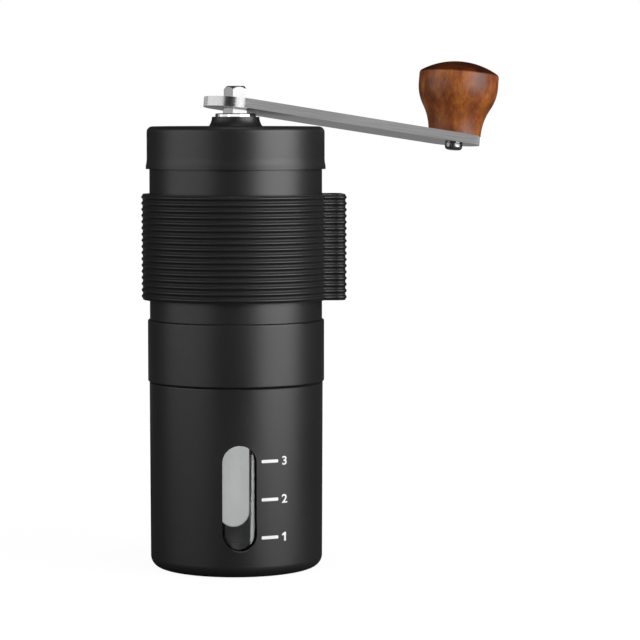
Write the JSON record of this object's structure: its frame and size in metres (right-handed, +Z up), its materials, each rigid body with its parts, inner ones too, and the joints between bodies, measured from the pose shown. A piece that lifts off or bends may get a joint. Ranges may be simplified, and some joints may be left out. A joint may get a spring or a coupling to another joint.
{
  "type": "hand crank coffee grinder",
  "caption": "Slim cylindrical hand coffee grinder: ribbed sleeve with crank pocket, window jar, lid, conical burr set and a removable flat crank with a turned wooden knob.",
  "frame": {"origin": "middle of the jar's flat base", "axes": "+Z up along the drive shaft; -Y towards the front window; the sleeve's loop is on +X"},
  "size_m": [0.1203, 0.1065, 0.1596],
  "materials": {
    "black_coat": "satin black coat with a fine speckle",
    "clear_plastic": "clear, glossy",
    "dark_rubber": "matte",
    "silicone": "satin black silicone",
    "polished_steel": "polished",
    "black_plastic": "moulded, matte",
    "white_plastic": "moulded, smooth",
    "screw_steel": "bright",
    "burr_steel": "ground",
    "shaft_steel": "polished",
    "spring_steel": "drawn wire",
    "bar_steel": "brushed along the bar",
    "stained_wood": "reddish-brown stain under satin varnish",
    "insert_brass": "turned"
  },
  "bodies": {
    "body": {"hopper_tube": "black_coat", "hand_sleeve": "silicone", "collar": "black_coat", "burr_housing": "black_plastic", "housing_screws": "screw_steel", "ring_burr": "burr_steel", "bearing_bridge": "black_plastic", "bridge_screws": "screw_steel", "upper_bush": "white_plastic", "lower_bush": "white_plastic", "thrust_washer": "screw_steel"},
    "drive": {"drive_shaft": "shaft_steel", "shaft_clip": "spring_steel"},
    "crank": {"crank_arm": "bar_steel"},
    "knob": {"knob": "stained_wood", "knob_insert": "insert_brass", "knob_bolt": "screw_steel", "knob_washer": "screw_steel"},
    "lid": {"lid": "black_coat", "lid_bush": "polished_steel", "lid_seal": "dark_rubber"},
    "burr": {"inner_burr": "burr_steel", "burr_carrier": "black_plastic", "spring_washer": "screw_steel", "burr_spring": "spring_steel"},
    "adjuster": {"adjusting_nut": "black_plastic"},
    "seal": {"jar_seal": "dark_rubber"},
    "jar": {"jar_shell": "black_coat", "jar_liner": "clear_plastic"}
  },
  "joints": [
    {"name": "crank_turn", "type": "hinge", "parent": "body", "child": "drive", "pos_m": [0, 0, 0.1], "axis": [0, 0, 1], "continuous": true},
    {"name": "crank_lift", "type": "slide", "parent": "drive", "child": "crank", "axis": [0, 0, 1], "range_m": [0, 0.06]},
    {"name": "knob_spin", "type": "hinge", "parent": "crank", "child": "knob", "pos_m": [0.07574, 0.06221, 0.13189], "axis": [0.0844, 0.0693, 0.994], "continuous": true},
    {"name": "lid_lift", "type": "slide", "parent": "body", "child": "lid", "axis": [0, 0, 1], "range_m": [0, 0.03]},
    {"name": "grind_set", "type": "slide", "parent": "drive", "child": "burr", "axis": [0, 0, 1], "range_m": [-0.0012, 0.0008], "deforming": ["burr_spring"]},
    {"name": "nut_turn", "type": "hinge", "parent": "burr", "child": "adjuster", "pos_m": [0, 0, 0.058], "axis": [0, 0, 1], "range_deg": [-435, 290]},
    {"name": "jar_drop", "type": "slide", "parent": "body", "child": "seal", "axis": [0, 0, -1], "range_m": [0, 0.0086]},
    {"name": "jar_twist", "type": "hinge", "parent": "seal", "child": "jar", "pos_m": [0, 0, 0.06], "axis": [0, 0, 1], "range_deg": [0, 255]}
  ],
  "couplings": [
    {"joint": "lid_lift", "follows": "crank_lift", "ratio": 0.5},
    {"joint": "nut_turn", "follows": "grind_set", "rad_per_m": 6283.2},
    {"joint": "jar_drop", "follows": "jar_twist", "m_per_rad": 0.0019099}
  ]
}
